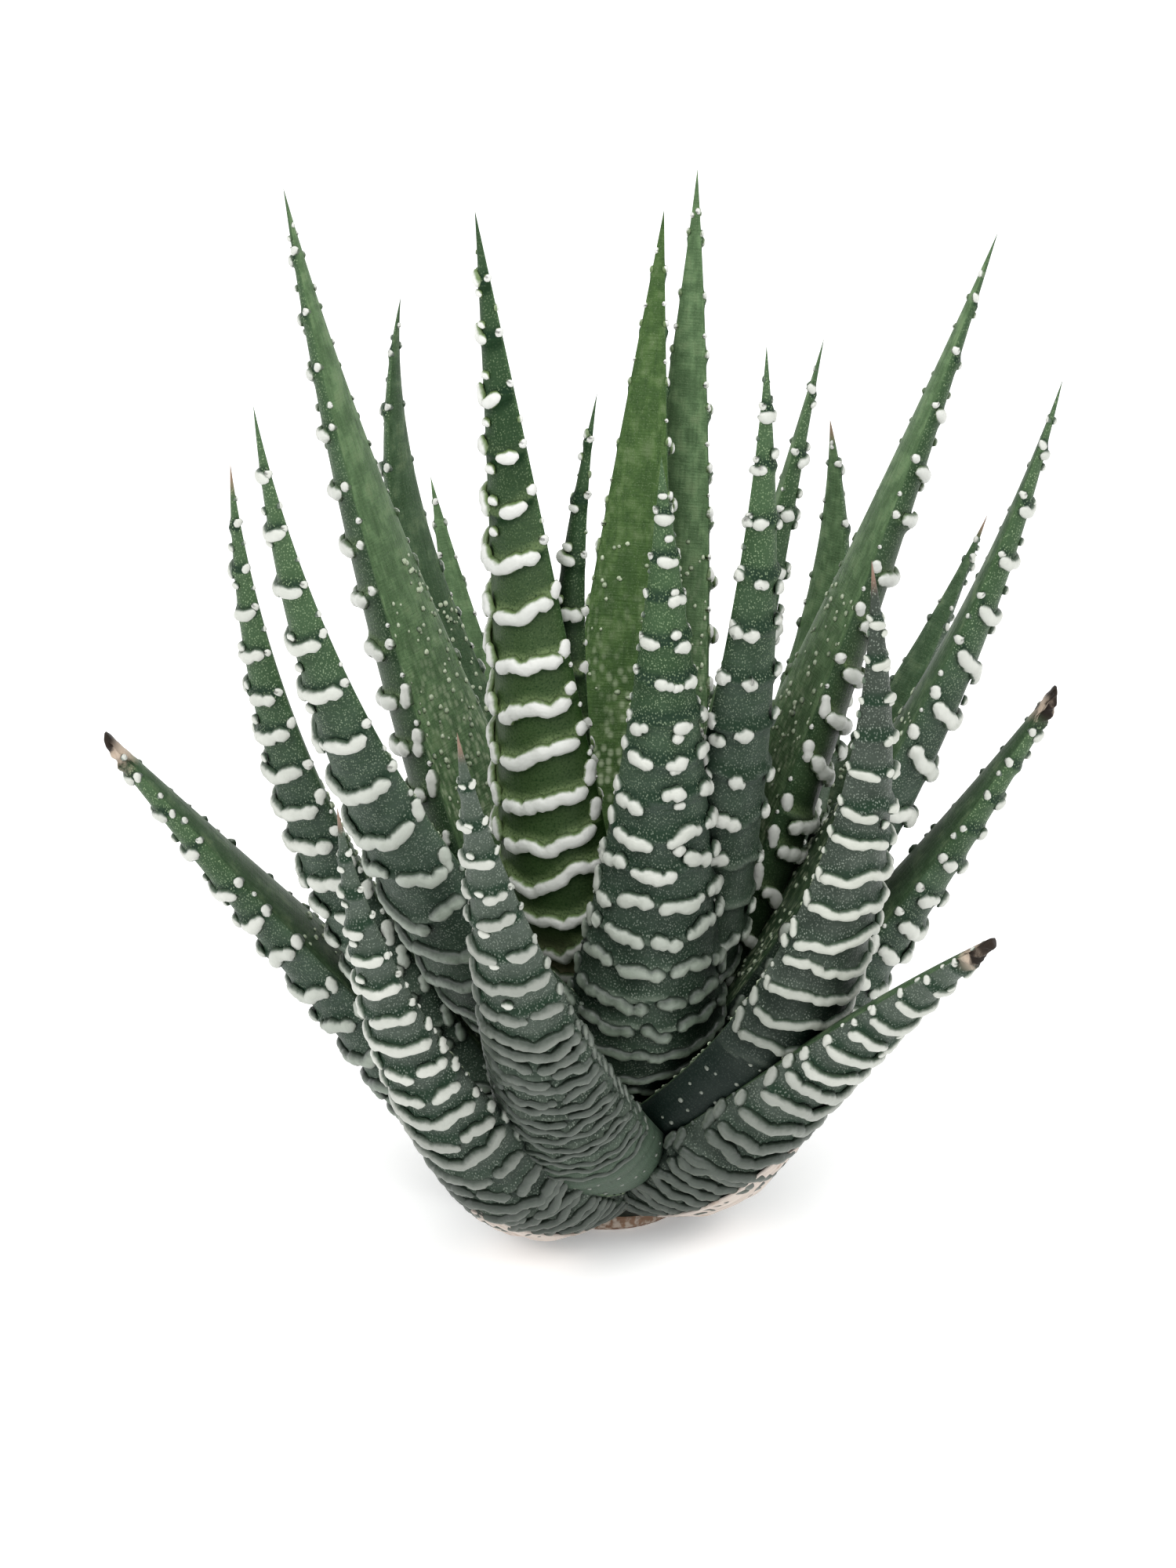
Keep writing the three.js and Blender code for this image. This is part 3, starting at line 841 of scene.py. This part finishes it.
class LeafShader(Shader):
    """The green skin's material, with a method for each part of its look."""

    def __init__(self):
        super().__init__("leaf_skin")
        self.mm = self.attribute("skin_mm")
        self.halo, self.bloom, self.pale = self.parts(self.attribute("tone"))
        self.inner, self.light, self.share = self.parts(self.attribute("kind"))
        self.lip, self.lipped, _ = self.parts(self.attribute("fold"))
        self.dry, self.red, _ = self.parts(self.attribute("ends"))

        self.clouds = self.noise(self.mm, 0.22)
        self.cloudy = self.step(self.clouds, 0.3, 0.7)
        self.mottle = self.noise(self.mm, 0.55, 5.0)
        self.fibres = self.noise(self.scaled(self.mm, (2.2, 0.25, 1.0)))
        self.creases = self.noise(self.scaled(self.mm, (0.35, 4.5, 1.0)))
        cells = self.step(self.cells(self.scaled(self.mm, (3.6, 3.1, 1.0))), 0.34, 0.1)
        self.speck = self.times(cells, self.step(self.noise(self.mm, 1.7, 2.0), 0.3, 0.7))

        self.lighter = self.is_lighter(self.light)
        self.young = self.is_young(self.light)
        self.upper = self.times(self.step(self.share, 0.35, 0.85), self.lighter)
        self.lower = self.times(self.young, self.step(self.share, 0.7, 0.36))
        self.fresh = self.math("MAXIMUM", self.step(self.light, 0.2, 0.7), self.upper)

    def green(self):
        """Clouded green, fresher towards the tips of the lighter leaves, and greyer on the others."""
        deep, mid = [
            self.mix(self.lighter, grey, self.mix(self.fresh, green, fresh))
            for grey, green, fresh in zip(GREY_GREEN, GREEN, FRESH_GREEN)
        ]
        tips = self.mix(self.lighter, self.mix(self.step(self.light, 0.12, 0.0), *GREY_TIP), FRESH_TIP)
        return self.mix(self.step(self.share, 0.55, 1.0), self.mix(self.cloudy, deep, mid), tips)

    def bloomed(self, colour):
        """A smooth grey waxy bloom with painted sheen below each row, painted shade in a dark line above it,
        and fine light specks.
        """
        grown = self.math("SUBTRACT", 1.0, self.lower)
        bloom_and_sheen = self.times(self.bloom, grown, self.step(self.upper, 1.0, 0.3))
        bloom_and_sheen = self.times(bloom_and_sheen, self.step(self.creases, 0.1, 0.6), self.step(self.light, -0.1, 0.15))
        # the grey bloom with painted sheen below each row
        colour = self.mix(self.times(bloom_and_sheen, 0.85), colour, self.mix(self.lighter, *BLOOM_AND_SHEEN))
        # painted shade in a dark line above each row
        colour = self.mix(self.times(self.halo, grown), colour, HALO_SHADE)
        specks = self.times(self.speck, self.math("MULTIPLY_ADD", bloom_and_sheen, -0.4, 0.75))
        return self.mix(specks, colour, self.mix(self.fresh, *SPECK))

    def with_young(self, colour):
        """Young leaves are a clear green low down, with a painted highlight above each row and painted shade
        below it.
        """
        young = self.mix(self.times(self.speck, 0.2), self.mix(self.cloudy, *YOUNG_GREEN), YOUNG_SPECK)
        colour = self.mix(self.lower, colour, young)
        # a painted highlight above each row
        painted_highlight = self.times(self.young, self.step(self.share, 0.8, 0.5), self.halo)
        painted_highlight = self.times(painted_highlight, self.step(self.noise(self.mm, 4.0, 2.0), 0.15, 0.6))
        colour = self.mix(painted_highlight, colour, YOUNG_HIGHLIGHT)
        # painted shade below each row
        return self.mix(self.times(self.bloom, self.young, 0.9), colour, YOUNG_SHADE)

    def with_base(self, colour):
        """The bare base, with painted shade on that of the darkest leaves, and the lips, with a painted
        highlight on their tops and painted shade in the grooves between them.
        """
        # painted shade on the darkest leaves' bare base, and the base's own green on the others
        base = self.mix(self.step(self.light, 0.0, 0.12), *BASE_SHADE_AND_GREEN)
        base = self.mix(self.step(self.light, 0.4, 0.8), base, YOUNG_BASE)
        colour = self.mix(self.times(self.pale, 0.9), colour, base)
        # painted shade in the grooves below the lips, less on the lighter leaves
        groove_shade = self.times(self.lipped, self.step(self.lip, 0.55, 0.1))
        groove_shade = self.times(groove_shade, self.math("MULTIPLY_ADD", self.lighter, -0.65, 1.0), 0.92)
        colour = self.mix(groove_shade, colour, GROOVE_SHADE)
        # a painted highlight on the lips' tops
        lips = self.times(self.lipped, self.step(self.lip, 0.45, 0.9), 0.85)
        return self.mix(lips, colour, self.lips(self.light))

    def face(self):
        """The inner face: streaked and mottled, with pale spots low down."""
        face = self.mix(self.step(self.light, 0.3, 0.45), *FACE)
        face = self.mix(self.step(self.light, 0.65, 0.95), face, YOUNG_FACE)
        face = self.mix(self.times(self.step(self.fibres, 0.35, 0.75), 0.35), face, FACE_FIBRE)
        face = self.mix(self.times(self.step(self.mottle, 0.62, 0.4), 0.4), face, FACE_CLOUDS[0])
        face = self.mix(self.times(self.step(self.mottle, 0.5, 0.75), 0.4), face, FACE_CLOUDS[1])
        spots = self.step(self.cells(self.scaled(self.mm, (0.95, 0.75, 1.0))), 0.45, 0.1)
        spots = self.times(spots, self.step(self.clouds, 0.35, 0.6))
        spots = self.times(spots, self.step(self.share, 0.62, 0.2), 0.8)
        face = self.mix(spots, face, FACE_SPOT)
        return self.mix(self.times(self.speck, 0.3), face, FACE_SPECK)

    def with_tip(self, colour):
        """Some leaves end in a red point, and some in a dry husk."""
        husk = self.mix(self.step(self.mottle, 0.42, 0.58), *HUSK)
        husk = self.mix(self.step(self.share, 0.965, 0.99), husk, HUSK_END)
        colour = self.mix(self.times(self.red, 0.75), colour, RED_TIP)
        return self.mix(self.dry, colour, husk)

    def shaded(self, colour):
        """Painted shade deep between the leaves, but less so on inner faces and low on young leaves."""
        in_the_open = self.math("MAXIMUM", self.crevices(), self.times(self.inner, 0.8))
        in_the_open = self.math("MAXIMUM", in_the_open, self.times(self.lower, 0.9))
        return self.mix(in_the_open, CREVICE_SHADE, colour)

    def relief(self):
        normal = self.bump(self.noise(self.mm, 3.0), 0.25, 0.0002)
        normal = self.bump(self.fibres, 0.3, 0.0002, normal)
        return self.bump(self.creases, 0.45, 0.0002, normal)


def leaf_material():
    shader = LeafShader()
    back = shader.with_base(shader.with_young(shader.bloomed(shader.green())))
    colour = shader.mix(shader.inner, back, shader.face())
    roughness = shader.math("MULTIPLY_ADD", shader.fibres, 0.2, 0.36)
    shader.surface.inputs["Specular IOR Level"].default_value = 0.1
    return shader.finish(shader.shaded(shader.with_tip(colour)), roughness, shader.relief())


def band_material():
    """Chalky white with green at its foot, greyer and greener on the old rows near a leaf's base."""
    shader = Shader("leaf_bands")
    fresh, light, faint = shader.parts(shader.attribute("look"))
    crest, side, _ = shader.parts(shader.attribute("form"))
    place = shader.place()
    clouds = shader.noise(place, 900.0)
    grain = shader.noise(place, 5000.0)
    lumps = shader.noise(place, 1700.0)
    white = shader.mix(light, shader.mix(clouds, *DULL_BAND), shader.mix(clouds, *BRIGHT_BAND))
    edged = shader.times(shader.step(side, 0.1, 0.9), shader.step(clouds, 0.2, 0.6))
    # the old bands take the lips' colour, painted highlight included
    old = shader.mix(edged, shader.lips(light), OLD_BAND_EDGE)
    colour = shader.mix(fresh, old, white)
    colour = shader.mix(faint, colour, shader.mix(fresh, *FACE_DOT))
    foot = shader.mix(fresh, OLD_BAND_FOOT, shader.mix(shader.is_young(light), *BAND_FOOT))
    softness = shader.math("MULTIPLY_ADD", shader.step(side, -0.9, 0.4), -0.45, 0.75)
    softness = shader.math("ADD", softness, shader.step(fresh, 0.5, 0.0))
    worn = shader.math("ADD", crest, shader.math("MULTIPLY_ADD", lumps, 0.7, -0.35))
    colour = shader.mix(shader.step(worn, 0.0, softness), foot, colour)
    normal = shader.bump(grain, 0.15, 0.0001, shader.bump(lumps, 0.5, 0.0002))
    return shader.finish(colour, 0.42, normal)


def stem_material():
    """Ringed brown cork, which turns green at the growing top."""
    shader = Shader("stem_cork")
    place = shader.place()
    rings = shader.noise(shader.scaled(place, (150.0, 150.0, 900.0)), detail=4.0)
    grain = shader.noise(place, 1500.0)
    colour = shader.mix(shader.step(grain, 0.45, 0.65), shader.mix(rings, *CORK), CORK_GRAIN)
    growing = shader.step(shader.parts(place)[2], STEM_GREEN_FROM, STEM_GREEN_BY)
    colour = shader.mix(growing, colour, STEM_TOP)
    normal = shader.bump(grain, 0.6, 0.0004, shader.bump(rings, 0.7, 0.0006))
    return shader.finish(colour, 0.85, normal)


def sheath_material():
    """Papery and pinkish white, veined, with brown stains."""
    shader = Shader("dry_sheath")
    mm = shader.attribute("skin_mm")
    veins = shader.noise(shader.scaled(mm, (1.6, 0.25, 1.0)), detail=4.0)
    clouds = shader.noise(mm, 0.35)
    colour = shader.mix(shader.step(clouds, 0.55, 0.8), shader.mix(veins, *PAPER), PAPER_STAIN)
    normal = shader.bump(veins, 0.6, 0.0003)
    return shader.finish(colour, 0.75, normal)


# ---- The pieces ----
LEAF_SEED = 100
STEM_SEED = 5
SHEATH_SEED = 40
STEM_SIDES = 72
STEM_RINGS = 60
STEM_FOOT_RINGS = [0.0, 0.12, 0.5]  # the heights of the rings that round its foot
STEM_FOOT_ROUNDING = 0.3
STEM_INSET = 0.35  # its foot stays this far inside the solid's
STEM_WAVES = 6
STEM_ROUGHNESS = 0.25


def build_leaves():
    skin_look = leaf_material()
    band_look = band_material()
    skins = [Skin(leaf) for leaf in LEAVES]
    for number, skin in enumerate(skins, start=1):
        rng = np.random.default_rng(LEAF_SEED + number)
        name = f"leaf_{number:02d}"
        rows = leaf_rows(skin, rng)
        green = leaf_skin(skin, rows, number, skins[number:]).make(name + "_skin", skin_look, "leaf")
        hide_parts(name)
        leaf_bands(skin, rows, rng).make(name + "_bands", band_look, "leaf")


def build_stem():
    """The corky stem: a lathe with a rough, ringed surface and a flat foot."""
    rng = np.random.default_rng(STEM_SEED)
    heights = np.concatenate([STEM_FOOT_RINGS, np.linspace(1.0, STEM_HEIGHT, STEM_RINGS)])
    angles = np.arange(STEM_SIDES) * TURN / STEM_SIDES
    waves = rng.uniform(0, TURN, STEM_WAVES)
    height, angle = np.meshgrid(heights, angles, indexing="ij")
    flare = smooth(height, FOOT_HEIGHT, FOOT_HEIGHT * 0.4)
    plain = blend(STEM_LOW_RADIUS, STEM_TOP_RADIUS, height / STEM_HEIGHT)
    radius = blend(plain, FOOT_RADIUS - STEM_INSET, flare)
    radius = radius - STEM_FOOT_ROUNDING * smooth(height, 0.5, 0.0)
    rough = sum(np.sin((k + 2) * angle + waves[k] + height * (0.3 + 0.4 * k)) for k in range(STEM_WAVES))
    radius = radius + STEM_ROUGHNESS * rough / STEM_WAVES * smooth(height, 0.0, 1.0)
    points = np.stack([radius * np.cos(angle), radius * np.sin(angle), height], -1).reshape(-1, 3)
    poles = np.array([[0.0, 0.0, 0.0], [0.0, 0.0, STEM_HEIGHT + 1.0]])
    builder = Builder()
    builder.add(np.vstack([points, poles]), tube_faces(len(heights), STEM_SIDES))
    stem = builder.make("stem_cork", stem_material(), "stem")
    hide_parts("stem")


def torn_edge(values, beat, start, phases):
    """A wavy line, in which the faster waves are the lower ones."""
    return sum(np.sin(values * (k * beat + start) + phase) / (k + 1) for k, phase in enumerate(phases))


def build_sheaths():
    """Papery shells with torn edges, each hugging the back of a low leaf."""
    look = sheath_material()
    for number, sheath in enumerate(SHEATHS):
        rng = np.random.default_rng(SHEATH_SEED + number)
        skin = Skin(LEAVES[sheath.under - 1])
        phases = rng.uniform(0, TURN, 8)
        lengthwise, crosswise = np.linspace(0, 1, SHEATH_RINGS), np.linspace(-1, 1, SHEATH_POINTS)
        along, across = np.meshgrid(lengthwise, crosswise, indexing="ij")
        torn = torn_edge(across, 1.9, 1, phases[:4])
        frayed = torn_edge(along, 9, 7, phases[4:])
        share = blend(SHEATH_START, sheath.reach * (1 + 0.06 * torn), along)
        wrap = np.radians(blend(SHEATH_WRAP, SHEATH_TIP_WRAP, along)) * (1 + 0.07 * frayed)
        angle = QUARTER_TURN + across * wrap
        ripple = 0.12 * np.sin(across * 9 + phases[0]) + 0.08 * frayed
        outside = skin.point(share, angle, SHEATH_OUT + ripple)
        inside = skin.point(share, angle, SHEATH_OUT - SHEATH_PAPER + ripple)
        outside[..., 2] = np.maximum(outside[..., 2], SHEATH_LOW)
        inside[..., 2] = np.maximum(inside[..., 2], SHEATH_LOW + SHEATH_PAPER)
        loops = np.concatenate([outside, inside[:, ::-1]], 1)
        mm = np.stack([across * 9, share * skin.leaf.length, np.full(across.shape, number * 9.0)], -1)
        mm = np.concatenate([mm, mm[:, ::-1]], 1).reshape(-1, 3)
        points = np.vstack([loops.reshape(-1, 3), loops[0].mean(0), loops[-1].mean(0)])
        builder = Builder()
        faces = tube_faces(SHEATH_RINGS, 2 * SHEATH_POINTS)
        builder.add(points, faces, skin_mm=np.vstack([mm, mm[0], mm[-1]]))
        shell = builder.make(sheath.name + "_shell", look, "dry_sheath")
        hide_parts(sheath.name)


# ---- The studio ----
PHOTO_HEIGHT = 2000
SCALE_AT_PLANT = 0.083  # millimetres for one pixel of the photograph
CAMERA_DISTANCE = 560.0
CAMERA_RISE = 24.0
CAMERA_TARGET = (-2.0, 0.0, 48.8)
SENSOR = 36.0
LAMPS = (  # name, place in metres, and power
    ("key", (-0.3, -0.35, 0.7), 4.6),
    ("fill", (0.4, -0.25, 0.7), 3.4),
)
LAMP_SIZE = 0.8
LAMP_AIM = (0.0, 0.0, 0.05)
SKY_STRENGTH = 0.9
FLOOR_REACH = 3.0
FLOOR_GLOW = 0.22


def build_camera():
    data = bpy.data.cameras.new("camera")
    data.sensor_fit = "AUTO"
    data.sensor_width = SENSOR
    data.lens = SENSOR * CAMERA_DISTANCE / (SCALE_AT_PLANT * PHOTO_HEIGHT)
    data.clip_start = 0.01
    camera = placed("camera", data)
    rise = math.radians(CAMERA_RISE)
    back = np.array([0.0, -math.cos(rise), math.sin(rise)])
    camera.location = (np.array(CAMERA_TARGET) + back * CAMERA_DISTANCE) * MM
    camera.rotation_euler = (QUARTER_TURN - rise, 0.0, 0.0)
    bpy.context.scene.camera = camera


def build_sky():
    world = bpy.data.worlds.new("studio")
    world.use_nodes = True
    sky = world.node_tree.nodes["Background"]
    sky.inputs["Color"].default_value = WHITE
    sky.inputs["Strength"].default_value = SKY_STRENGTH
    bpy.context.scene.world = world


def build_floor():
    mesh = bpy.data.meshes.new("floor")
    corners = [(FLOOR_REACH * x, FLOOR_REACH * y, 0) for x, y in ((-1, -1), (1, -1), (1, 1), (-1, 1))]
    mesh.from_pydata(corners, [], [(0, 1, 2, 3)])
    floor = placed("floor", mesh)
    shader = Shader("floor")
    shader.surface.inputs["Emission Color"].default_value = WHITE
    shader.surface.inputs["Emission Strength"].default_value = FLOOR_GLOW
    mesh.materials.append(shader.finish(FLOOR, 0.9))


def build_lamps():
    for name, place, power in LAMPS:
        light = bpy.data.lights.new(name, "AREA")
        light.size = LAMP_SIZE
        light.energy = power
        lamp = placed(name, light)
        lamp.location = place
        aim = np.array(LAMP_AIM) - np.array(place)
        heading = math.atan2(aim[0], aim[1])
        lamp.rotation_euler = (math.acos(-aim[2] / np.linalg.norm(aim)), 0.0, -heading)


build_camera()
build_stem()
build_sheaths()
build_leaves()
build_sky()
build_floor()
build_lamps()
bpy.context.scene.view_settings.view_transform = "Standard"
